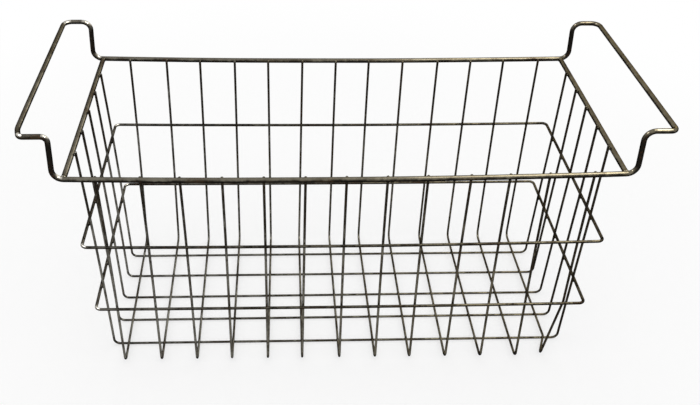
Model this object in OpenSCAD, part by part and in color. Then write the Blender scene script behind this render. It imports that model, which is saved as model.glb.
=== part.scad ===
// Wire locker basket: a welded wire tray with leaning walls and a raised grip formed at each end
// of its rim. X runs along its length, Y from front to back, Z up from the ground.

/* [Overall] */
// Length between the centres of the two end bars
bar_span = 480; // [420:5:560]
// Depth between the centres of the front and back rim wires
rim_depth = 220; // [180:5:280]
// Height of the rim wire's centre above the ground
rim_h = 230; // [190:5:280]
// How far each end wall leans in from the rim to the floor
end_lean = 8; // [0:1:20]
// How far the front and back walls lean in from the rim to the floor
side_lean = 5; // [0:1:15]

/* [Grips] */
// Height of a grip's centre above the rim wire's centre
grip_rise = 43; // [30:1:60]
// How far a grip's centre stands out past the end bar's centre
grip_reach = 34; // [27:1:50]
// How far the foot of a riser stands out past the end bar's centre
riser_out = 8.3; // [6:0.1:12]
// How far a riser draws back between its foot and its head
riser_lean = 1.8; // [0:0.1:4]

/* [Hoops] */
// Height of the upper hoop's centre above the ground
upper_hoop_h = 153.8; // [120:0.2:180]
// Height of the lower hoop's centre above the ground
lower_hoop_h = 77.6; // [40:0.2:110]

/* [Mesh] */
// Number of wires that run from front to back
cross_count = 13; // [9:1:15]
// Distance from an end bar's centre to the nearest of them
cross_margin = 27.4; // [20:0.2:50]
// Number of wires that run from end to end
long_count = 5; // [3:1:7]
// Distance from a rim wire's centre to the nearest of them
long_margin = 38.8; // [25:0.2:55]
// How far the cut ends of the cross wires stand above the rim wire's centre
cross_tip_above = 0.8; // [0:0.2:2.4]
// How far the cut ends of the long wires stand above the end bars' centre
long_tip_above = 2.8; // [0:0.2:3.4]

/* [Wire] */
// Diameter of the rim wire and the end bars
rim_wire = 4.8; // [3.6:0.2:6.4]
// Diameter of the two hoops
hoop_wire = 2.9; // [2:0.1:4]
// Diameter of the mesh wires
mesh_wire = 2.4; // [1.8:0.1:3.2]
// Gap left for the weld where two wires meet
weld_gap = 0.1; // [0.05:0.05:0.3]
// Depth that the runs on the ground are worn flat
wear = 0.15; // [0.05:0.05:0.4]

/* [Bends] */
// Radius at the foot and the head of a riser, to the wire's centre
rim_bend = 9; // [7:0.5:11]
// Radius at the corners of a grip, to the wire's centre
grip_bend = 6.5; // [5:0.5:11]
// Radius of the hoops' corners, to the wire's centre
hoop_bend = 5; // [4:0.5:14]
// Radius where a cross wire turns up from the floor, to its centre
cross_bend = 7; // [4:0.5:12]
// Radius where a long wire turns up from the floor, to its centre
long_bend = 6; // [4:0.5:12]

/* [Hidden] */
$fn = 32;
// A bent stretch is drawn down by this much of its diameter, and laps this far into its runs
bend_thinning = 0.02;
bend_lap = 0.2;

cross_names = [for (i = [1 : cross_count]) str("cross_wire_", i < 10 ? "0" : "", i)];
long_names = [for (i = [1 : long_count]) str("long_wire_", i)];

// The long wires lie on the ground, and the cross wires are welded on top of them
long_z = mesh_wire / 2 - wear;
cross_z = long_z + mesh_wire + weld_gap;

// Walls: where the mesh meets the rim, where it meets the floor, and the angle between
end_angle = atan(end_lean / (rim_h - long_z));
side_angle = atan(side_lean / (rim_h - cross_z));
end_top = bar_span / 2 - beside(rim_wire) / cos(end_angle);
side_top = rim_depth / 2 - beside(rim_wire) / cos(side_angle);
end_foot = end_top - end_lean;
side_foot = side_top - side_lean;

// Distance between the centres of a mesh wire and a wire of diameter d that is welded beside it
function beside(d) = (d + mesh_wire) / 2 + weld_gap;

// A wall's distance from the middle at height z, for a wall from [foot, low] up to [top, rim_h]
function wall_at(z, foot, low, top) = foot + (top - foot) * (z - low) / (rim_h - low);

// Place of wire i in a row of so many wires that fill a span about the middle
function in_row(i, count, span) = (i / (count - 1) - 0.5) * span;

function unit(v) = v / norm(v);

// Angle that a wire turns through at corner b, on its way from a to c
function turn(a, b, c) = acos(unit(b - a) * unit(c - b));

// Radius of bend i, where r is one radius for all bends or a list with one for each corner
function radius_at(r, i) = is_list(r) ? r[i] : r;

// Distance from corner i of path p back to the start of its bend, or 0 at a cut end
function setback(p, i, r, closed) =
  let (n = len(p))
  !closed && (i == 0 || i == n - 1) ? 0
    : radius_at(r, i) * tan(turn(p[(i + n - 1) % n], p[i], p[(i + 1) % n]) / 2);

// A straight run of wire from a to b
module run(a, b, d) {
  v = b - a;
  translate(a) rotate([0, acos(v.z / norm(v)), atan2(v.y, v.x)]) cylinder(h = norm(v), d = d);
}

// The bend at corner b, on the way from a to c
module bend(a, b, c, d, r) {
  along = unit(b - a);
  angle = turn(a, b, c);
  lap = bend_lap / r * 180 / PI;
  middle = b + unit(unit(c - b) - along) * r / cos(angle / 2);
  out = unit(b - along * r * tan(angle / 2) - middle);
  axis = cross(out, along);
  multmatrix([
    [out.x, along.x, axis.x, middle.x],
    [out.y, along.y, axis.y, middle.y],
    [out.z, along.z, axis.z, middle.z],
    [0, 0, 0, 1]
  ])
    rotate([0, 0, -lap])
      rotate_extrude(angle = angle + 2 * lap) translate([r, 0]) circle(d = d - bend_thinning);
}

// A wire of diameter d that follows the corners of path p, bent at radius r or at a list of radii
module wire(p, d, r, closed = false) {
  n = len(p);
  for (i = [0 : n - (closed ? 1 : 2)]) {
    j = (i + 1) % n;
    along = unit(p[j] - p[i]);
    run(p[i] + along * setback(p, i, r, closed), p[j] - along * setback(p, j, r, closed), d);
    if (closed || j < n - 1) bend(p[i], p[j], p[(j + 1) % n], d, radius_at(r, j));
  }
}

// One closed wire: the front rim, up and out to a grip, along it, back down and so on round
module rim_wire() {
  foot = bar_span / 2 + riser_out;
  head = foot - riser_lean;
  grip = bar_span / 2 + grip_reach;
  top = rim_h + grip_rise;
  y = rim_depth / 2;
  right = [[foot, rim_h], [head, top], [grip, top]];
  half = concat([for (c = right) [c[0], -y, c[1]]], [for (i = [2 : -1 : 0]) [right[i][0], y, right[i][1]]]);
  bends = [rim_bend, rim_bend, grip_bend, grip_bend, rim_bend, rim_bend];
  color("#57524a")
    wire(concat(half, [for (c = half) [-c.x, -c.y, c.z]]), rim_wire, concat(bends, bends), closed = true);
}

// A straight bar between the front and back rim wires, welded to them end on
module end_bar(side) {
  half = rim_depth / 2 - rim_wire / 2 - weld_gap;
  x = side * bar_span / 2;
  color("#625c50") run([x, -half, rim_h], [x, half, rim_h], rim_wire);
}

// A closed rectangle of wire round the outside of the walls at height z
module hoop(z) {
  x = wall_at(z, end_foot, long_z, end_top) + beside(hoop_wire) / cos(end_angle);
  y = wall_at(z, side_foot, cross_z, side_top) + beside(hoop_wire) / cos(side_angle);
  color("#4d483f")
    wire([[-x, -y, z], [x, -y, z], [x, y, z], [-x, y, z]], hoop_wire, hoop_bend, closed = true);
}

// Wire i of those that run down the front wall, over the floor and up the back wall
module cross_wire(i) {
  x = in_row(i, cross_count, bar_span - 2 * cross_margin);
  tip = rim_h + cross_tip_above;
  y = wall_at(tip, side_foot, cross_z, side_top);
  color("#4a453d")
    wire([[x, -y, tip], [x, -side_foot, cross_z], [x, side_foot, cross_z], [x, y, tip]],
      mesh_wire, cross_bend);
}

// Wire i of those that run down the left wall, along the ground and up the right wall
module long_wire(i) {
  y = in_row(i, long_count, rim_depth - 2 * long_margin);
  tip = rim_h + long_tip_above;
  x = wall_at(tip, end_foot, long_z, end_top);
  color("#45403a") difference() {
    wire([[-x, y, tip], [-end_foot, y, long_z], [end_foot, y, long_z], [x, y, tip]],
      mesh_wire, long_bend);
    translate([-end_top, y - mesh_wire, -mesh_wire]) cube([2 * end_top, 2 * mesh_wire, mesh_wire]);
  }
}

rim_wire();
end_bar(-1);  // left_end_bar
end_bar(1);  // right_end_bar
hoop(upper_hoop_h);  // upper_hoop
hoop(lower_hoop_h);  // lower_hoop
for (i = [0 : cross_count - 1]) cross_wire(i);
for (i = [0 : long_count - 1]) long_wire(i);
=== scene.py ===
# %% [markdown]
# # A wire locker basket
# The real basket is welded from lengths of plated steel wire that have gone dull and brown with
# age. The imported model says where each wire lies. Its own meshes are coarse, so this lesson bends
# every wire again, fine enough for its bends, cut ends and welds to be seen close by, and then
# gives it the finish of old plating.

# %% Load the frame
import math

import bmesh
import bpy
from mathutils import Matrix, Vector, kdtree, noise


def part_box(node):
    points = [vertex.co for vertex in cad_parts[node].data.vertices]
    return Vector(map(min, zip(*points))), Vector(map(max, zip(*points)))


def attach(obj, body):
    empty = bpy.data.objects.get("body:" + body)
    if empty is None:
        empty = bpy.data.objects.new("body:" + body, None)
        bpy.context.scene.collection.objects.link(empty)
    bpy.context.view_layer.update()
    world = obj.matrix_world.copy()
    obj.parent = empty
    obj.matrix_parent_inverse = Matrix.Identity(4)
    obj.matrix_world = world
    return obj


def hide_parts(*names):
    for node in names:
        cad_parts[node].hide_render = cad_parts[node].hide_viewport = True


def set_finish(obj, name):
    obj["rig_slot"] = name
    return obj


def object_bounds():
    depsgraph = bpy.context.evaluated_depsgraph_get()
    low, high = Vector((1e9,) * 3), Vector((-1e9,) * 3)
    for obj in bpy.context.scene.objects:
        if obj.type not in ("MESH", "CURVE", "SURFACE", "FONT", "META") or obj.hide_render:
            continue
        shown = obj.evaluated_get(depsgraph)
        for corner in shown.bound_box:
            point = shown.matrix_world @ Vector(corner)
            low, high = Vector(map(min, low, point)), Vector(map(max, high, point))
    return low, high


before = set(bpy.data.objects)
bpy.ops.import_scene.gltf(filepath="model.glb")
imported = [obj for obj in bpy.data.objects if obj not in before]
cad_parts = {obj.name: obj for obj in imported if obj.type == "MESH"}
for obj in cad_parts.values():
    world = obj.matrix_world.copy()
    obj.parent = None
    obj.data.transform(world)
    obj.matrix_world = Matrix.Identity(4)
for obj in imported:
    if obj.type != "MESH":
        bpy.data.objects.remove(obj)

cad_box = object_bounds()
print("packed model:", len(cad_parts), "wires, from", cad_box[0][:], "to", cad_box[1][:])

# %% [markdown]
# ## Sizes
# What the frame can say is measured on it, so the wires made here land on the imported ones. A box
# can't show how far a wall leans or how tightly a wire is bent, so those few sizes are repeated.

# %% Measure the frame
MM = 0.001


def size_of(node):
    """Length, depth and height of a packed wire's box."""
    low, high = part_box(node)
    return high - low


def middle_of(node):
    """Middle of a packed wire's box."""
    low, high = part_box(node)
    return (low + high) / 2


CROSS_NAMES = sorted(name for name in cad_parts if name.startswith("cross_wire"))
LONG_NAMES = sorted(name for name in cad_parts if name.startswith("long_wire"))
HEAVY = size_of("right_end_bar").x
HOOP = size_of("upper_hoop").z
LIGHT = size_of(CROSS_NAMES[0]).x

BAR_X = middle_of("right_end_bar").x
RIM_Z = middle_of("right_end_bar").z
RIM_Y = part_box("rim_wire")[1].y - HEAVY / 2
GRIP_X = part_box("rim_wire")[1].x - HEAVY / 2
GRIP_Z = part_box("rim_wire")[1].z - HEAVY / 2
print(f"wires {HEAVY / MM:.2f}, {HOOP / MM:.2f} and {LIGHT / MM:.2f} mm thick")

# %% Sizes that a box can't show
RIM_BEND = 9 * MM
HOOP_BEND = 5 * MM
CROSS_BEND = 7 * MM
LONG_BEND = 6 * MM
END_LEAN = 8 * MM
SIDE_LEAN = 5 * MM
RISER_OUT = 8.3 * MM
RISER_LEAN = 1.8 * MM
WEAR = 0.15 * MM

CROSS_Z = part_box(CROSS_NAMES[0])[0].z + LIGHT / 2
LONG_Z = LIGHT / 2 - WEAR
CROSS_TIP_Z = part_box(CROSS_NAMES[0])[1].z
LONG_TIP_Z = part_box(LONG_NAMES[0])[1].z
SIDE_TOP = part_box(CROSS_NAMES[0])[1].y - LIGHT / 2
END_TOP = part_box(LONG_NAMES[0])[1].x - LIGHT / 2


def side_at(z):
    """How far the front and back walls stand from the middle at height z."""
    return SIDE_TOP - SIDE_LEAN * (CROSS_TIP_Z - z) / (RIM_Z - CROSS_Z)


def end_at(z):
    """How far the end walls stand from the middle at height z."""
    return END_TOP - END_LEAN * (LONG_TIP_Z - z) / (RIM_Z - LONG_Z)


print(f"floor {2 * end_at(LONG_Z) / MM:.0f} by {2 * side_at(CROSS_Z) / MM:.0f} mm")

# %% [markdown]
# ## The camera
# The camera stands where the photographer's did. Its place and lens were found by matching the
# wires' lines, and a small shift frames them as the picture does. It comes first because the rest
# is judged through it.

# %% Set the camera
EYE = Vector((-61, -738.2, 649.3)) * MM
AIM_DEGREES = (54.5, -0.87, -2.09)
LENS = 45.89
SHIFT = (0.0545, 0.0035)

camera = bpy.data.objects.new("camera", bpy.data.cameras.new("camera"))
bpy.context.scene.collection.objects.link(camera)
camera.location = EYE
camera.rotation_euler = [math.radians(angle) for angle in AIM_DEGREES]
camera.data.lens = LENS
camera.data.shift_x, camera.data.shift_y = SHIFT
camera.data.clip_start = 10 * MM
bpy.context.scene.camera = camera
print(f"camera {EYE.length:.2f} m from the basket's foot, {LENS} mm lens")

# %% [markdown]
# ## A wire bender
# On the real basket each wire was fed through a bender: so far straight on, then round a pin, then
# straight on again. A curve with a round bevel would give the same tube, but it can't be made
# thicker at a cut end. So the wire is drawn in a mesh in the way that the machine works. A circle
# is the wire's end, extruding it feeds the wire on, and spinning it about a pin bends it.
#
# Each point also notes where it lies on its own wire: two numbers across the wire and one along
# it. The finish uses them later to draw its marks lengthwise, round every bend. It notes as well
# how hard the wire was worked there, which is 1 in a bend that is sharp enough. The finish makes
# such bends smoother, and paints a highlight on top of them at the left end.

# %% Rings of a wire


def edges_of(ring):
    """The edges that join a ring's points, each once and always in the same order."""
    inside = set(ring)
    return list(dict.fromkeys(e for v in ring for e in v.link_edges if e.other_vert(v) in inside))


def verts_in(geometry):
    """The points among what an operator made."""
    return [part for part in geometry if isinstance(part, bmesh.types.BMVert)]


def begin_wire(bm, at, along, radius, sides):
    """The end of a wire that is about to be fed along a direction."""
    place = Matrix.Translation(at) @ along.to_track_quat("Z", "Y").to_matrix().to_4x4()
    ring = bmesh.ops.create_circle(bm, segments=sides, radius=radius, matrix=place)["verts"]
    skin = bm.verts.layers.float_vector["skin"]
    for v in ring:
        across = place.inverted() @ v.co
        v[skin] = (across.x, across.y, 0)
    return ring


print("a wire starts as a ring")

# %% Feed and bend
STEP = 3.5 * MM
BEND_STEP = math.radians(11)
SHARP = math.radians(60)


def note(bm, ring, length, bent):
    """Write down how far along the wire a new ring lies, and how hard it was worked there."""
    skin = bm.verts.layers.float_vector["skin"]
    worn = bm.verts.layers.float["bent"]
    for v in ring:
        v[skin].z += length
        v[worn] = bent


def feed(bm, ring, along, length):
    """Feed the wire straight on, in short steps that can be bowed later."""
    steps = max(1, round(length / STEP))
    for _ in range(steps):
        ring = verts_in(bmesh.ops.extrude_edge_only(bm, edges=edges_of(ring))["geom"])
        bmesh.ops.translate(bm, verts=ring, vec=along * length / steps)
        note(bm, ring, length / steps, 0)
    return ring


def bend(bm, ring, pin, axis, angle, radius):
    """Bend the wire round a pin, in small steps. The last ring is half in the straight run."""
    steps = max(3, round(angle / BEND_STEP))
    worked = min(angle / SHARP, 1)
    for i in range(steps):
        made = bmesh.ops.spin(bm, geom=list(ring) + edges_of(ring), cent=pin, axis=axis,
                              angle=angle / steps, steps=1)
        ring = verts_in(made["geom_last"])
        note(bm, ring, radius * angle / steps, worked if i < steps - 1 else worked / 2)
    return ring


print("fed in steps of", round(STEP / MM, 1), "mm, bent by", round(math.degrees(BEND_STEP)), "degrees")

# %% [markdown]
# ## Cut ends
# A cross-cutter squeezes a wire as it shears it, and the weld then softens what is left, so an end
# is a little thicker than its wire and rounded over. A plain flat cap would look sawn.

# %% Round a cut end
END_SHAPE = ((0.2, 1.06), (0.4, 1.05), (0.35, 0.88), (0.15, 0.5))
END_LENGTH = sum(further for further, _ in END_SHAPE) * MM


def round_end(bm, ring, along, radius):
    """Close a cut end: each pair says how far on, in mm, and how thick for its wire."""
    middle = sum((v.co for v in ring), Vector()) / len(ring)
    for further, thickness in END_SHAPE:
        ring = verts_in(bmesh.ops.extrude_edge_only(bm, edges=edges_of(ring))["geom"])
        middle = middle + along * further * MM
        for v in ring:
            out = v.co - middle
            out -= along * out.dot(along)
            v.co = middle + out.normalized() * radius * thickness
    bmesh.ops.contextual_create(bm, geom=edges_of(ring))


print("a cut end has", len(END_SHAPE), "rings")

# %% [markdown]
# ## Nothing is quite straight
# Years of use have left the basket a little out of shape: its long sides sag, the rim is raised at
# the back, twisted, and has slid sideways over the floor, and two walls are dented inwards. All its
# wires are joined, so they move together: one smooth field moves every point by where it lies, and
# what was welded stays welded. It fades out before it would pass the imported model's outer faces.

# %% Bow the basket
FRONT_SAG = 3.2 * MM
BACK_SAG = 2.2 * MM
BACK_LIFT = 1.7 * MM
TWIST = 0.7 * MM
SLIDE = 1 * MM
FRONT_DENT = 2.3 * MM
FOOT_DENT = 4.2 * MM
LEFT_DENT = 1.1 * MM
DRIFT = 0.25 * MM
DRIFT_LENGTH = 130 * MM
DRIFT_PLACES = (Vector((9.3, 0, 0)), Vector((0, 7.1, 0)), Vector((0, 0, 4.7)))
WALL_POWER = 8
FOOT_POWER = 6
FADE = 25 * MM


def drift(at):
    """A small smooth wander. Its three parts are the same noise, taken at places far apart."""
    return Vector([noise.noise(at / DRIFT_LENGTH + place, noise_basis="PERLIN_ORIGINAL")
                   for place in DRIFT_PLACES]) * DRIFT


def bow(at):
    """Where a point of the straight basket lies on the bowed one. The powers keep dents local."""
    u = min(max(at.x / BAR_X, -1), 1)
    v = min(max(at.y / RIM_Y, -1), 1)
    height = min(max(at.z / RIM_Z, 0), 1)
    belly = math.sin(math.pi * height)
    front = ((1 - v) / 2) ** WALL_POWER
    left = ((1 - u) / 2) ** WALL_POWER
    sag = FRONT_SAG * (1 - v) / 2 + BACK_SAG * (1 + v) / 2
    move = drift(at) * height
    move.x += LEFT_DENT * belly * left - SLIDE * height * (1 - v) / 2
    move.y += front * (FRONT_DENT * belly + FOOT_DENT * (1 - u) / 2 * (1 - height) ** FOOT_POWER)
    move.z += BACK_LIFT * (1 + v) / 2 * height ** 2 - (TWIST * u * v + sag * (1 - u * u)) * height
    low, high = cad_box
    for i in range(3):
        room = high[i] - at[i] if move[i] > 0 else at[i] - low[i]
        move[i] *= min(max(room / FADE, 0), 1)
    return at + move


rim_front = Vector((0, -RIM_Y, RIM_Z))
print("the front rim hangs", round((rim_front - bow(rim_front)).z / MM, 2), "mm low")

# %% [markdown]
# ## Pieces
# A piece starts as an empty mesh with room for those notes. When it is drawn it is bowed, anything
# below the ground is lifted to it, and it becomes an object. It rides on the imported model's one
# body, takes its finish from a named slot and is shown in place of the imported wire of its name.

# %% Start and finish a piece


def new_bmesh():
    """An empty bmesh with the layers in which points say where they lie on their wire."""
    bm = bmesh.new()
    bm.verts.layers.float_vector.new("skin")
    bm.verts.layers.float.new("bent")
    return bm


def finish_piece(bm, name, slot, *nodes):
    """Turn a bmesh into a piece of the basket that stands for some packed wires."""
    for v in bm.verts:
        v.co = bow(v.co)
        v.co.z = max(v.co.z, 0)
    for face in bm.faces:
        face.smooth = True
    bmesh.ops.recalc_face_normals(bm, faces=bm.faces)
    mesh = bpy.data.meshes.new(name)
    bm.to_mesh(mesh)
    bm.free()
    piece = bpy.data.objects.new(name, mesh)
    bpy.context.scene.collection.objects.link(piece)
    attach(piece, "root")
    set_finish(piece, slot)
    if nodes:
        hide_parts(*nodes)
    return piece


print(len(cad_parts), "packed wires to draw again")

# %% [markdown]
# ## From a bent path to a wire
# Every wire here is a path of straight lines with a bend at each corner, so one function makes them
# all. A closed wire starts and ends half way along its last line, where its two ends are merged.
# Bends in three dimensions can leave its last ring a little turned against the first, so the ring
# is turned on to meet it. The length noted along it counts up to half way round and down again, so
# that the marks drawn on it meet as well.

# %% Make a wire along a path
SIDES = 16
SAME_PLACE = 0.02 * MM


def join_ends(bm, first, last):
    """Merge a closed wire's last ring with its first."""
    skin = bm.verts.layers.float_vector["skin"]
    whole = last[0][skin].z
    for v in bm.verts:
        v[skin].z = min(v[skin].z, whole - v[skin].z)
    for v in last:
        v.co = min((other.co for other in first), key=lambda at: (at - v.co).length)
    bmesh.ops.remove_doubles(bm, verts=first + last, dist=SAME_PLACE)


def make_wire(node, slot, corners, thickness, bends, closed=False):
    """A packed wire made again along its corners, each with the radius that it is bent at."""
    bm = new_bmesh()
    path = [Vector(corner) for corner in corners]
    if closed:
        seam = (path[-1] + path[0]) / 2
        path = [seam] + path + [seam]
    else:
        path[0] += (path[1] - path[0]).normalized() * END_LENGTH
        path[-1] += (path[-2] - path[-1]).normalized() * END_LENGTH
    along = (path[1] - path[0]).normalized()
    at = path[0]
    first = ring = begin_wire(bm, at, along, thickness / 2, SIDES)
    if not closed:
        round_end(bm, first, -along, thickness / 2)
    for corner, after, radius in zip(path[1:-1], path[2:], bends):
        onward = (after - corner).normalized()
        angle = along.angle(onward)
        back = radius * math.tan(angle / 2)
        axis = along.cross(onward).normalized()
        ring = feed(bm, ring, along, (corner - at).length - back)
        pin = corner - along * back + axis.cross(along) * radius
        ring = bend(bm, ring, pin, axis, angle, radius)
        at = corner + onward * back
        along = onward
    ring = feed(bm, ring, along, (path[-1] - at).length)
    if closed:
        join_ends(bm, first, ring)
    else:
        round_end(bm, ring, along, thickness / 2)
    return finish_piece(bm, node + "_look", slot, node)


print("each wire is drawn with", SIDES, "sides")

# %% [markdown]
# ## The rim wire
# One heavy wire makes both long sides of the rim and both grips. It runs along the front, turns up
# in a riser, out, along the grip, back in and down to the back run. It was bent by hand round a
# jig, so no two of its handles' four ends are quite alike. At the left front the grip was bent a
# second time, just short of its corner, to bring the corner in.

# %% Shape the handles
# Strays in mm: the riser's and the grip's to the right, and the rise of the riser's head and grip
HANDLE_STRAY = {
    ("left", "front"): (0, 0.3, -1.3),
    ("left", "back"): (-1.5, 0, 0),
    ("right", "front"): (0, -0.9, 0),
    ("right", "back"): (-0.7, -2.2, -2.1),
}
# Radii in mm at the riser's head and at the grip's corner
HANDLE_BENDS = {
    ("left", "front"): (5.5, 5),
    ("left", "back"): (9, 8),
    ("right", "front"): (9, 5),
    ("right", "back"): (9, 8),
}


def handle_end(side, end):
    """A riser's foot and head, and its grip's corner."""
    riser_stray, grip_stray, rise = HANDLE_STRAY[side, end]
    way = 1 if side == "right" else -1
    y = RIM_Y if end == "back" else -RIM_Y
    z = GRIP_Z + rise * MM
    foot = way * (BAR_X + RISER_OUT) + riser_stray * MM
    return (Vector((foot, y, RIM_Z)), Vector((foot - way * RISER_LEAN, y, z)),
            Vector((way * GRIP_X + grip_stray * MM, y, z)))


print("grips", round(GRIP_X / MM, 1), "mm either side of the middle")

# %% Bend the rim wire
TUCK_IN = 3.5 * MM
TUCK_LENGTH = 12 * MM
TUCK_BEND = 24 * MM

whole_loop = []
for side, end in (("right", "front"), ("right", "back"), ("left", "back"), ("left", "front")):
    foot, head, grip = handle_end(side, end)
    head_bend, grip_bend = HANDLE_BENDS[side, end]
    upward = [(foot, RIM_BEND), (head, head_bend * MM), (grip, grip_bend * MM)]
    if (side, end) == ("left", "front"):
        upward[-1:] = [(grip + Vector((TUCK_IN, 0, 0)), grip_bend * MM),
                       (grip + Vector((0, TUCK_LENGTH, 0)), TUCK_BEND)]
    climbs = (side == "right") == (end == "front")
    whole_loop += upward if climbs else upward[::-1]
loop_corners, loop_bends = zip(*whole_loop)
wires = [make_wire("rim_wire", "heavy_wire", loop_corners, HEAVY, loop_bends, closed=True)]
print("rim wire:", len(wires[0].data.polygons), "faces")

# %% [markdown]
# ## The end bars
# A straight bar closes each end of the rim. It is butt-welded: its ends are pressed against the
# rim wire while the current flows, so each swells a little and flows round it. That bead is the
# last steps of the extrusion, each drawn wider or narrower than the one before. The bars' ends
# lie a little to one side, where they happened to be clamped.

# %% Make the end bars
BEAD = ((2.4, 0), (1.4, 0.06), (0.7, 0.2), (0.1, 0.35), (-0.6, 0.35), (-1.5, -0.1), (-2.2, -0.6))
BAR_STRAY = {-1: (0.7, 0.2), 1: (-0.3, -0.8)}


def bar_stray(side, y):
    """How far to one side a bar lies at depth y, from its front end to its back end."""
    front, back = BAR_STRAY[side]
    share = (y / RIM_Y + 1) / 2
    return (front * (1 - share) + back * share) * MM


def make_bar(node, side):
    """A bar from rim to rim. A bead's pairs are mm short of the rim and mm thicker."""
    bm = new_bmesh()
    along = Vector((0, 1, 0))
    face = RIM_Y - HEAVY / 2
    half = [(face - short * MM, HEAVY / 2 + thicker * MM) for short, thicker in BEAD]
    rings = [(-y, radius) for y, radius in reversed(half)] + half
    at = Vector((side * BAR_X, rings[0][0], RIM_Z))
    first = ring = begin_wire(bm, at, along, rings[0][1], SIDES)
    for y, radius in rings[1:]:
        ring = feed(bm, ring, along, y - at.y)
        at.y = y
        for v in ring:
            v.co = at + (v.co - at).normalized() * radius
    for end in (first, ring):
        bmesh.ops.contextual_create(bm, geom=edges_of(end))
    for v in bm.verts:
        v.co.x += bar_stray(side, v.co.y)
    return finish_piece(bm, node + "_look", "heavy_wire", node)


wires += [make_bar("left_end_bar", -1), make_bar("right_end_bar", 1)]
print("end bars at", round(BAR_X / MM, 1), "mm either side of the middle")

# %% [markdown]
# ## The hoops
# Two closed rectangles of thinner wire go round the outside of the leaning walls, so the lower one
# is the smaller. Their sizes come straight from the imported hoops' boxes.

# %% Bend the hoops
HOOP_NAMES = ("upper_hoop", "lower_hoop")


def half_of(hoop):
    """Half the length and half the depth between the centre lines of a hoop's wire."""
    half = size_of(hoop) / 2
    return half.x - HOOP / 2, half.y - HOOP / 2


for node in HOOP_NAMES:
    x, y = half_of(node)
    z = middle_of(node).z
    rectangle = [(-x, -y, z), (x, -y, z), (x, y, z), (-x, y, z)]
    wires.append(make_wire(node, "hoop_wire", rectangle, HOOP, [HOOP_BEND] * 4, closed=True))
    print(f"{node}: {2 * x / MM:.0f} by {2 * y / MM:.0f} mm at height {z / MM:.1f} mm")

# %% [markdown]
# ## The cross wires
# Thirteen wires run down the front wall, over the floor and up the back wall. They are welded
# wherever they happened to lie, so each corner strays a little to one side, by as many mm as could
# be judged from the photograph. The last wire's front corner has been knocked in. It has held at
# the welds on either side, so the wire bends at the lower hoop and at the first long wire too.

# %% Bend the cross wires
FRONT_TOP_STRAY = (-1.1, 1, -1, -0.5, -0.5, -0.3, -0.6, -0.8, -1.4, 0.5, -1.2, -2.3, 1.1)
FRONT_FOOT_STRAY = (-0.9, -0.4, -0.6, -1.4, -1, -2.2, -0.3, 0.2, -0.6, 0, 0.3, 0.6, 1.2)
BACK_FOOT_STRAY = (-2.3, -0.7, -0.6, 0.3, 1.8, -0.3, 0, -0.6, -0.1, 0.8, -0.5, -0.1, -0.5)
BACK_TOP_STRAY = (0.7, 2.6, 1.6, 2.1, 1.4, 1.7, 1.3, 0.5, 0.7, 2.1, 1.5, 0.7, 2.2)
KNOCK = Vector((-10.5, 3, 0)) * MM


def leg_x(i, side, z):
    """Where cross wire i lies along the front wall, side -1, or the back wall, side 1, at height z."""
    foot = (FRONT_FOOT_STRAY if side < 0 else BACK_FOOT_STRAY)[i]
    top = (FRONT_TOP_STRAY if side < 0 else BACK_TOP_STRAY)[i]
    share = z / CROSS_TIP_Z
    return middle_of(CROSS_NAMES[i]).x + (foot * (1 - share) + top * share) * MM


def floor_x(i, y):
    """Where cross wire i lies along the floor at depth y."""
    share = (y / side_at(CROSS_Z) + 1) / 2
    return leg_x(i, -1, CROSS_Z) * (1 - share) + leg_x(i, 1, CROSS_Z) * share


for i, node in enumerate(CROSS_NAMES):
    foot = side_at(CROSS_Z)
    corners = [(leg_x(i, -1, CROSS_TIP_Z), -SIDE_TOP, CROSS_TIP_Z),
               (leg_x(i, -1, CROSS_Z), -foot, CROSS_Z), (leg_x(i, 1, CROSS_Z), foot, CROSS_Z),
               (leg_x(i, 1, CROSS_TIP_Z), SIDE_TOP, CROSS_TIP_Z)]
    if node == CROSS_NAMES[-1]:
        low_weld = middle_of("lower_hoop").z
        first_long = middle_of(LONG_NAMES[0]).y
        corners[1:2] = [(leg_x(i, -1, low_weld), -side_at(low_weld), low_weld),
                        Vector(corners[1]) + KNOCK, (floor_x(i, first_long), first_long, CROSS_Z)]
    wires.append(make_wire(node, "mesh_wire", corners, LIGHT, [CROSS_BEND] * (len(corners) - 2)))
print(len(CROSS_NAMES), "cross wires")

# %% [markdown]
# ## The long wires
# Five wires run down one end wall, along the ground under the cross wires and up the other end.
# The basket slides on them, so they are worn flat underneath: finish_piece lifts every point that
# would lie below the ground up to it. They stray too, to the front or back, and above the upper
# hoop their right ends were pushed back along the bar before they were welded to it.

# %% Bend the long wires
LONG_STRAY = ((-0.3, 0), (-0.6, -0.3), (-0.4, 0), (0, -0.7), (0.4, -0.4))
RIGHT_TIP = Vector((0, 2.4, 0.6)) * MM
KNEE_SHARE = (middle_of("upper_hoop").z - LONG_Z) / (LONG_TIP_Z - LONG_Z)


def long_y(i, x):
    """How deep long wire i lies at length x."""
    left, right = LONG_STRAY[i]
    share = (x / BAR_X + 1) / 2
    return middle_of(LONG_NAMES[i]).y + (left * (1 - share) + right * share) * MM


def long_leg(i, side):
    """Foot and cut end of long wire i on the left side, -1, or the right side, 1."""
    foot = side * end_at(LONG_Z)
    y = long_y(i, side * END_TOP)
    return (Vector((foot, long_y(i, foot), LONG_Z)),
            Vector((side * END_TOP + bar_stray(side, y), y, LONG_TIP_Z)))


for i, node in enumerate(LONG_NAMES):
    left_foot, left_tip = long_leg(i, -1)
    right_foot, right_tip = long_leg(i, 1)
    knee = right_foot.lerp(right_tip, KNEE_SHARE)
    corners = [left_tip, left_foot, right_foot, knee, right_tip + RIGHT_TIP]
    wires.append(make_wire(node, "mesh_wire", corners, LIGHT, [LONG_BEND] * 3))
print(len(LONG_NAMES), "long wires")

# %% [markdown]
# ## The welds
# Where two wires cross they were pressed together and fused, and a little metal was squeezed out
# round the spot. There are nearly two hundred of these, so each is one small sphere squashed
# against both wires, and all those of a kind are one mesh.

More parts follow.
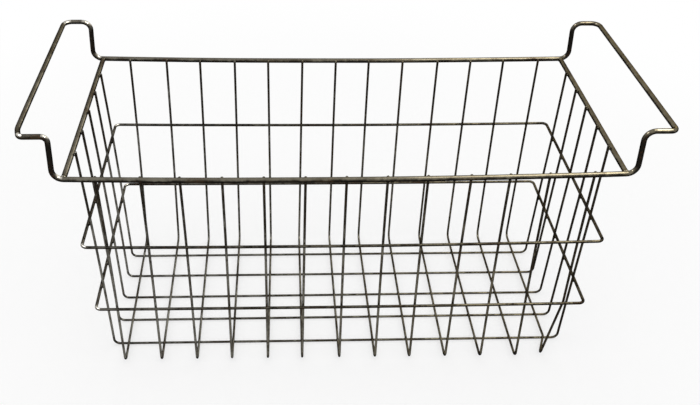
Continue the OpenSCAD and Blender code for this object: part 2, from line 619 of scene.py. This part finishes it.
# %% Squash a weld between two wires
WELD_WIDTH = 1.24
WELD_THICKNESS = 0.6
weld_spots = []


def squash_weld(bm, one, other):
    """Metal squeezed out between two wires, each given as a point on its centre line and a radius."""
    apart = other[0] - one[0]
    at = one[0] + apart * one[1] / (one[1] + other[1])
    small = min(one[1], other[1])
    shape = Matrix.Diagonal((small * WELD_WIDTH, small * WELD_WIDTH, small * WELD_THICKNESS, 1))
    turned = apart.to_track_quat("Z", "Y").to_matrix().to_4x4()
    bmesh.ops.create_icosphere(bm, subdivisions=2, radius=1, matrix=Matrix.Translation(at) @ turned @ shape)
    weld_spots.append(at)


print("a weld is", round(LIGHT * WELD_WIDTH / MM, 2), "mm across")

# %% Weld the floor
floor_welds = new_bmesh()
for i in range(len(CROSS_NAMES)):
    for j in range(len(LONG_NAMES)):
        x = floor_x(i, middle_of(LONG_NAMES[j]).y)
        y = long_y(j, x)
        squash_weld(floor_welds, (Vector((x, y, LONG_Z)), LIGHT / 2), (Vector((x, y, CROSS_Z)), LIGHT / 2))
welds = [finish_piece(floor_welds, "floor_welds", "mesh_wire")]
print(len(weld_spots), "welds on the floor")

# %% Weld the walls and the rim
wall_welds = new_bmesh()
rim_welds = new_bmesh()
for side in (-1, 1):
    for i in range(len(CROSS_NAMES)):
        for hoop in HOOP_NAMES:
            z = middle_of(hoop).z
            x = leg_x(i, side, z)
            squash_weld(wall_welds, (Vector((x, side * side_at(z), z)), LIGHT / 2),
                        (Vector((x, side * half_of(hoop)[1], z)), HOOP / 2))
        x = leg_x(i, side, RIM_Z)
        squash_weld(rim_welds, (Vector((x, side * side_at(RIM_Z), RIM_Z)), LIGHT / 2),
                    (Vector((x, side * RIM_Y, RIM_Z)), HEAVY / 2))
    for i in range(len(LONG_NAMES)):
        y = long_y(i, side * BAR_X)
        for hoop in HOOP_NAMES:
            z = middle_of(hoop).z
            x = side * end_at(z) + bar_stray(side, y) * z / RIM_Z
            squash_weld(wall_welds, (Vector((x, y, z)), LIGHT / 2),
                        (Vector((side * half_of(hoop)[0], y, z)), HOOP / 2))
        if side > 0:
            y += RIGHT_TIP.y
        x = bar_stray(side, y)
        squash_weld(rim_welds, (Vector((side * end_at(RIM_Z) + x, y, RIM_Z)), LIGHT / 2),
                    (Vector((side * BAR_X + x, y, RIM_Z)), HEAVY / 2))
welds += [finish_piece(wall_welds, "wall_welds", "hoop_wire"),
          finish_piece(rim_welds, "rim_welds", "heavy_wire")]
print(len(weld_spots), "welds with", sum(len(piece.data.polygons) for piece in welds), "faces")

# %% [markdown]
# ## Marks of the heat
# The weld's heat burned the plating off round each spot, and it has gone dark there since. A tree
# of all the spots finds the nearest one to every point of the wires, and the point notes how close
# it is, for the finish to use.

# %% Mark the heat
HEAT_REACH = 5 * MM

weld_spots += [Vector((side * BAR_X + bar_stray(side, y), y, RIM_Z))
               for side in (-1, 1) for y in (-RIM_Y, RIM_Y)]
spots = kdtree.KDTree(len(weld_spots))
for i, spot in enumerate(weld_spots):
    spots.insert(bow(spot), i)
spots.balance()
for piece in wires + welds:
    heat = piece.data.attributes.new("heat", "FLOAT", "POINT")
    for v in piece.data.vertices:
        apart = spots.find(v.co)[2]
        heat.data[v.index].value = max(0, 1 - apart / HEAT_REACH)
print("heat marked round", len(weld_spots), "spots")

# %% [markdown]
# ## Finishes
# The wire is drawn steel with a thin bright plating. Ageing has turned the plating grey, and brown
# where it wore through. One material recipe serves every wire, with its own colours and coarseness
# for the heavy and the light ones. Colours are written as a screen shows them while Blender works
# in linear light, so one function turns them. Another adds a node with its settings and links.

# %% Colours and nodes


def linear(code):
    """An sRGB hex colour as the linear colour that Blender works in."""
    parts = [int(code[i:i + 2], 16) / 255 for i in (1, 3, 5)]
    return [c / 12.92 if c <= 0.04045 else ((c + 0.055) / 1.055) ** 2.4 for c in parts] + [1]


def add(tree, kind, inputs=None, **settings):
    """Add a node with its settings. An input is a value, a socket that feeds it, or a node whose
    first output does."""
    made = tree.nodes.new("ShaderNode" + kind)
    for name, value in settings.items():
        setattr(made, name, value)
    for name, value in (inputs or {}).items():
        if isinstance(value, bpy.types.Node):
            value = value.outputs[0]
        if isinstance(value, bpy.types.NodeSocket):
            tree.links.new(value, made.inputs[name])
        else:
            made.inputs[name].default_value = value
    return made


print("dull plating is", [round(c, 3) for c in linear("#6f6b62")[:3]], "in linear light")

# %% [markdown]
# ## What the finish follows
# Wear, and the light and shade painted on the wire, aren't spread evenly. They follow where a point
# lies on the basket, how far it faces up, how sharply the wire was bent there and how near a weld
# is. Age adds patterns of its own: broad clouds, stains, patches, a fine mottle and specks of rust,
# each a noise scaled from its real size.
# The die has also scratched lines along the wire. They are finer than this on the real one, and
# are drawn half a millimetre apart so that they show.

# %% Read the marks
PATTERNS = {"cloud": 38 * MM, "stain": 24 * MM, "patch": 9 * MM, "mottle": 3 * MM, "specks": 1.2 * MM}
PATTERN_DETAIL = {"specks": 4}
PLAIN_DETAIL = 3
PATTERN_ROUGHNESS = 0.6
LINE_ACROSS = 0.5 * MM
LINE_ALONG = 30 * MM


def read_marks(tree):
    """All that the finish follows, each under a plain name."""
    place = add(tree, "TexCoord").outputs
    at = add(tree, "SeparateXYZ", {0: place["Object"]}).outputs
    marks = {"length": at["X"], "depth": at["Y"], "height": at["Z"]}
    marks["upward"] = add(tree, "SeparateXYZ", {0: place["Normal"]}).outputs["Z"]
    for name in ("bent", "heat"):
        marks[name] = add(tree, "Attribute", attribute_name=name).outputs["Fac"]
    skin = add(tree, "Attribute", attribute_name="skin").outputs["Vector"]
    per_line = (1 / LINE_ACROSS, 1 / LINE_ACROSS, 1 / LINE_ALONG)
    lengthwise = add(tree, "VectorMath", {0: skin, 1: per_line}, operation="MULTIPLY")
    drawn = {name: (place["Object"], 1 / size) for name, size in PATTERNS.items()}
    drawn["lines"] = (lengthwise, 1)
    for name, (where, scale) in drawn.items():
        marks[name] = add(tree, "TexNoise", {"Vector": where, "Scale": scale,
                          "Detail": PATTERN_DETAIL.get(name, PLAIN_DETAIL),
                          "Roughness": PATTERN_ROUGHNESS})
    return marks


print("patterns of", [round(size / MM, 1) for size in PATTERNS.values()], "mm")

# %% [markdown]
# ## Masks and zones
# A layer of the finish shows where its mask is 1. A mask adds up shares of some marks, and takes a
# smooth step from where the sum reaches one level to where it reaches another. A zone is a stretch
# of the basket, with one such step for each of its edges, all multiplied together.

# %% Make masks and zones


def mask(tree, marks, shares, begin, full, least=0, most=1):
    """Where shares of some marks add up to enough."""
    total = 0
    for mark, share in shares.items():
        total = add(tree, "Math", {0: marks[mark], 1: share, 2: total}, operation="MULTIPLY_ADD")
    return add(tree, "MapRange", {"Value": total, "From Min": begin, "From Max": full,
               "To Min": least, "To Max": most}, interpolation_type="SMOOTHSTEP")


def zone(tree, marks, level, edges):
    """A stretch of the basket. An edge is the mark that it follows, where along that the zone
    begins and is full, and the share that is left outside."""
    for mark, begin, full, outside in edges:
        edge = mask(tree, marks, {mark: 1}, begin, full, outside)
        level = add(tree, "Math", {0: level, 1: edge}, operation="MULTIPLY")
    return level


print("masks ready")

# %% [markdown]
# ## Where the plating is left
# The tops of the wires are painted light and their undersides nearly black, as painted light and
# shade, so how far a point faces up counts most. Clouds, patches, the mottle and the lines break
# that up as wear. The mesh wires are also made lighter low down on the walls, less at the back and
# not at the right end, while the left front of the handles is painted darker, as painted shade.
# Places in these edges are in metres.

# %% Find the plating
# Facing up counts most here: it paints the tops light and the undersides dark, as painted light and shade;
# the noises are wear.
WEAR_AND_TOP_LIGHT = {"lighter_low": 1, "upward": 1, "bent": 0.12, "cloud": 1, "patch": 0.9, "mottle": 0.7, "lines": 0.3}
WEAR_AND_TOP_LIGHT_BEGINS = 1.5
WEAR_AND_TOP_LIGHT_FULL = 2.2
UNBROKEN = {"cloud": 1, "mottle": 0.6, "patch": 0.8}
UNBROKEN_BEGINS = 1.02
UNBROKEN_FULL = 1.4
# The mesh is made lighter low down on the walls, less at the back and not at the right end.
LIGHTER_LOW_SHARE = 0.3
LIGHTER_LOW_EDGES = (("length", 0.24, 0.08, 0), ("depth", 0.1, 0.075, 0.35), ("height", 0.23, 0.03, 0),
                 ("height", 0.004, 0.015, 0))
# The left front handle is painted darker here, as painted shade.
LEFT_HANDLE_SHADE_SHARE = 0.55
LEFT_HANDLE_SHADE_EDGES = (("length", -0.234, -0.25, 0), ("depth", -0.1, -0.107, 0), ("height", 0.22, 0.24, 0))


def find_plating(tree, marks, shade, worst, low_wall_lightening):
    """Note where the mesh is made lighter low down and where wear and painted top light show the
    plating, and give the share of plating shown, less on the painted shade of the left front handle.
    """
    marks["lighter_low"] = zone(tree, marks, low_wall_lightening, LIGHTER_LOW_EDGES)
    marks["rubbed_and_top_lit"] = mask(tree, marks, WEAR_AND_TOP_LIGHT, WEAR_AND_TOP_LIGHT_BEGINS + shade, WEAR_AND_TOP_LIGHT_FULL + shade)
    unbroken = mask(tree, marks, UNBROKEN, UNBROKEN_BEGINS, UNBROKEN_FULL, worst)
    left_handle_shade = zone(tree, marks, LEFT_HANDLE_SHADE_SHARE, LEFT_HANDLE_SHADE_EDGES)
    bright = add(tree, "Math", {0: 1, 1: left_handle_shade}, operation="SUBTRACT")
    bare_and_top_lit = add(tree, "Math", {0: marks["rubbed_and_top_lit"], 1: unbroken}, operation="MULTIPLY")
    bare_and_top_lit = add(tree, "Math", {0: bare_and_top_lit, 1: bright}, operation="MULTIPLY")
    return add(tree, "Math", {0: marks["lighter_low"], 1: LIGHTER_LOW_SHARE, 2: bare_and_top_lit}, operation="MULTIPLY_ADD")


print("plating is rubbed bare in", len(WEAR_AND_TOP_LIGHT), "ways")

# %% [markdown]
# ## The recipe
# The plating is painted warmer from left to right, as warm light from the right, and tarnish, which
# also stands for the painted shade of the undersides, covers it elsewhere. Over both lie a painted
# highlight on top of the sharp bends at the left end, brown stains, rust where the plating has
# failed, and the scorched welds. Rust and scorching are rough, rubbed and bent wire is smoother.
# A metal's edges mirror white at a grazing angle. Grime stops that, so its tint is dark. The
# drawing lines and the specks also stand out a little, which breaks up the glints.

# %% Layers of age
# A mask is shares of marks, the levels where it begins and is full, and its least and its most
# The plating is painted warmer towards the right, as warm light falling from the right.
WARM_LIGHT_RIGHTWARD = ({"length": 1}, -0.22, 0.22)
STAINED = ({"stain": 1, "bent": -0.2}, 0.5, 0.68, 0, 0.4)
RUSTY = ({"specks": 1, "cloud": -0.6}, 0.3, 0.42, 0, 0.55)
SCORCHED = ({"heat": 1, "patch": 0.5}, 0.75, 1.15, 0, 0.75)
# A painted highlight on top of the sharp bends at the left end.
PAINTED_GLINT_EDGES = (("bent", 0.6, 1, 0), ("upward", 0.35, 0.85, 0), ("length", 0.1, -0.1, 0))
PAINTED_GLINT = "#bebab0"
SCORCH = "#17120e"
ROUGHER = {"rubbed_and_top_lit": -0.1, "bent": -0.11, "rusty": 0.35, "scorched": 0.2}
print(f"stains hide up to {STAINED[-1]:.0%} of what is under them, and rust {RUSTY[-1]:.0%}")

# %% Old plating
GRIMY_EDGE = "#2c2822"
METAL = 0.95
METAL_LOST_TO_RUST = -0.6
SPECK_RELIEF = 0.6
RELIEF = 0.06 * MM
RELIEF_STRENGTH = 0.22


def old_plating(name, cool, warm, tarnish_and_underside_shade, stain, rust, roughness, shade, worst, low_wall_lightening):
    """Dull nickel plating on drawn steel wire, with painted light and shade. A higher shade shows less
    of the plating and of the painted top light, worst is what is left in the worst patches, and the
    last argument is how much lighter the wire is made low on the walls; it also leaves the painted
    highlight off the bends."""
    material = bpy.data.materials.new(name)
    material.use_nodes = True
    tree = material.node_tree
    tree.nodes.clear()
    marks = read_marks(tree)
    bare_and_top_lit = find_plating(tree, marks, shade, worst, low_wall_lightening)
    marks["rusty"] = mask(tree, marks, *RUSTY)
    marks["scorched"] = mask(tree, marks, *SCORCHED)
    plating = add(tree, "Mix", {0: mask(tree, marks, *WARM_LIGHT_RIGHTWARD), 6: linear(cool), 7: linear(warm)},
                  data_type="RGBA").outputs[2]
    # The tarnish colour also stands for painted shade on the undersides, and the plating for painted light
    # on the tops.
    look = add(tree, "Mix", {0: bare_and_top_lit, 6: linear(tarnish_and_underside_shade), 7: plating}, data_type="RGBA").outputs[2]
    # Painted highlight on the tops of the left bends, left off the mesh wires.
    painted_glint = zone(tree, marks, 1 - low_wall_lightening, PAINTED_GLINT_EDGES)
    stained = mask(tree, marks, *STAINED)
    for share, colour in ((painted_glint, PAINTED_GLINT), (stained, stain), (marks["rusty"], rust),
                          (marks["scorched"], SCORCH)):
        look = add(tree, "Mix", {0: share, 6: look, 7: linear(colour)}, data_type="RGBA").outputs[2]
    for mark, share in ROUGHER.items():
        roughness = add(tree, "Math", {0: marks[mark], 1: share, 2: roughness}, operation="MULTIPLY_ADD")
    metal = add(tree, "Math", {0: marks["rusty"], 1: METAL_LOST_TO_RUST, 2: METAL},
                operation="MULTIPLY_ADD")
    relief = add(tree, "Math", {0: marks["specks"], 1: SPECK_RELIEF, 2: marks["lines"]},
                 operation="MULTIPLY_ADD")
    bump = add(tree, "Bump", {"Height": relief, "Strength": RELIEF_STRENGTH, "Distance": RELIEF})
    shader = add(tree, "BsdfPrincipled", {"Base Color": look, "Metallic": metal, "Roughness": roughness,
                 "Normal": bump, "Specular Tint": linear(GRIMY_EDGE)})
    add(tree, "OutputMaterial", {"Surface": shader})
    return material


print("plating recipe ready")

# %% [markdown]
# The rim wire and the end bars keep the most plating. The hoops and the mesh are worn through in
# patches and are a little rougher. Only the mesh is made lighter low down on the walls, and it alone
# has no painted highlight on its bends. Each warm colour is its plating painted under warm light
# from the right, and each tarnish colour is also the painted shade of its undersides.

# %% Give each wire its finish
FINISHES = {
    "heavy_wire": old_plating("dull plated steel, heavy drawn wire", cool="#706c61", warm="#766f5e",
                              tarnish_and_underside_shade="#1b1916", stain="#443a2a", rust="#523622",
                              roughness=0.3, shade=0, worst=0.7, low_wall_lightening=0),
    "hoop_wire": old_plating("dull plated steel, hoop wire", cool="#5c5952", warm="#595344",
                             tarnish_and_underside_shade="#1c1915", stain="#40362a", rust="#4a3220",
                             roughness=0.34, shade=0, worst=0.15, low_wall_lightening=0),
    "mesh_wire": old_plating("dull plated steel, light drawn wire", cool="#73716a", warm="#605a4b",
                             tarnish_and_underside_shade="#24201a", stain="#40362a", rust="#4a3220",
                             roughness=0.36, shade=-0.05, worst=0.15, low_wall_lightening=1),
}
for piece in wires + welds:
    piece.data.materials.append(FINISHES[piece["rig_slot"]])
print(len(FINISHES), "finishes on", len(wires) + len(welds), "pieces")

# %% [markdown]
# ## The floor and the light
# The photograph has a pure white ground. A pale floor near the basket takes its soft shadow, is
# more than half plain white there so that the shadow is faint, and turns all plain further out.
# The world is white to the camera and in reflections, and lights the paper nearly as white.

# %% Lay the floor
FLOOR_SIZE = 6
FLOOR_DROP = 0.1 * MM

floor_mesh = bpy.data.meshes.new("floor")
bm = bmesh.new()
bmesh.ops.create_grid(bm, x_segments=1, y_segments=1, size=FLOOR_SIZE)
bmesh.ops.translate(bm, verts=bm.verts, vec=(0, 0, -FLOOR_DROP))
bm.to_mesh(floor_mesh)
bm.free()
floor = bpy.data.objects.new("floor", floor_mesh)
bpy.context.scene.collection.objects.link(floor)
print("floor", 2 * FLOOR_SIZE, "m across")

# %% Paint the floor
NEAR = 0.45
FAR = 0.9
PLAIN_SHARE = 0.55


def seen(tree):
    """1 for what is seen straight on, mirrored in metal or through glass, and 0 for what only
    lights something."""
    ray = add(tree, "LightPath").outputs
    either = add(tree, "Math", {0: ray["Is Camera Ray"], 1: ray["Is Glossy Ray"]}, operation="MAXIMUM")
    return add(tree, "Math", {0: either, 1: ray["Is Transmission Ray"]}, operation="MAXIMUM")


paper = bpy.data.materials.new("matt white paper")
paper.use_nodes = True
tree = paper.node_tree
tree.nodes.clear()
place = add(tree, "TexCoord").outputs["Object"]
away = add(tree, "VectorMath", {0: place}, operation="LENGTH").outputs["Value"]
fade = add(tree, "MapRange", {"Value": away, "From Min": NEAR, "From Max": FAR, "To Min": PLAIN_SHARE},
           interpolation_type="SMOOTHSTEP")
plain = add(tree, "Math", {0: seen(tree), 1: fade}, operation="MULTIPLY")
matt = add(tree, "BsdfDiffuse", {"Color": linear("#fcfcfc")})
white = add(tree, "Emission", {"Color": linear("#ffffff"), "Strength": 1})
mixed = add(tree, "MixShader", {0: plain, 1: matt, 2: white})
add(tree, "OutputMaterial", {"Surface": mixed})
floor_mesh.materials.append(paper)
print(f"{PLAIN_SHARE:.0%} of the floor near the basket is plain white")

# %% Light the world
WORLD_LIGHT = 0.97

world = bpy.data.worlds.new("studio")
bpy.context.scene.world = world
world.use_nodes = True
tree = world.node_tree
tree.nodes.clear()
strength = add(tree, "MapRange", {"Value": seen(tree), "To Min": WORLD_LIGHT, "To Max": 1})
sky = add(tree, "Background", {"Color": linear("#ffffff"), "Strength": strength})
add(tree, "OutputWorld", {"Surface": sky})
print("the world lights diffuse surfaces at", WORLD_LIGHT)

# %% [markdown]
# Two soft lamps hang over the basket's right side, narrow along the basket and long in depth. A
# round wire mirrors what lies above it in its upper half only, so they lie as a broad cream line
# on the tops of the long wires, only from the middle rightwards, and brightest on the handle. A
# small cool one on the left gives the bends there their glints, and a pale panel far back on the
# right lights the right flanks of all that runs front to back. They light the metal alone: the
# world makes the paper white already, and with more the shadows would be too strong.

# %% Hang the lamps


def hang_lamp(name, at, turn, size, level, colour):
    """A soft lamp, turned in degrees, of a radiance given as times white."""
    data = bpy.data.lights.new(name, "AREA")
    data.shape = "RECTANGLE"
    data.size, data.size_y = size
    data.energy = level * math.pi * size[0] * size[1]
    data.color = linear(colour)[:3]
    lamp = bpy.data.objects.new(name, data)
    lamp.location = at
    lamp.rotation_euler = [math.radians(angle) for angle in turn]
    lamp.visible_diffuse = False
    bpy.context.scene.collection.objects.link(lamp)
    return lamp


lamps = [
    hang_lamp("key_lamp", at=(0.52, -0.05, 1.5), turn=(0, 22, 0), size=(0.5, 1.3), level=4.6,
              colour="#fffcf2"),
    hang_lamp("handle_lamp", at=(0.8, -0.2, 1.45), turn=(0, 28, 0), size=(0.26, 1.3), level=10.5,
              colour="#fffef4"),
    hang_lamp("glint_lamp", at=(-0.92, 0.1, 1.4), turn=(0, -30, 0), size=(0.42, 1), level=8,
              colour="#f4f5fc"),
    hang_lamp("side_panel", at=(1.6, 2.2, 0.9), turn=(75, 0, 144), size=(1.6, 1.4), level=2.2,
              colour="#fff9ec"),
]
print("lamps:", ", ".join(lamp.name for lamp in lamps))

# %% [markdown]
# ## Look
# The plain Standard view shows each colour about as it is written.

# %% Finish
bpy.context.scene.view_settings.view_transform = "Standard"
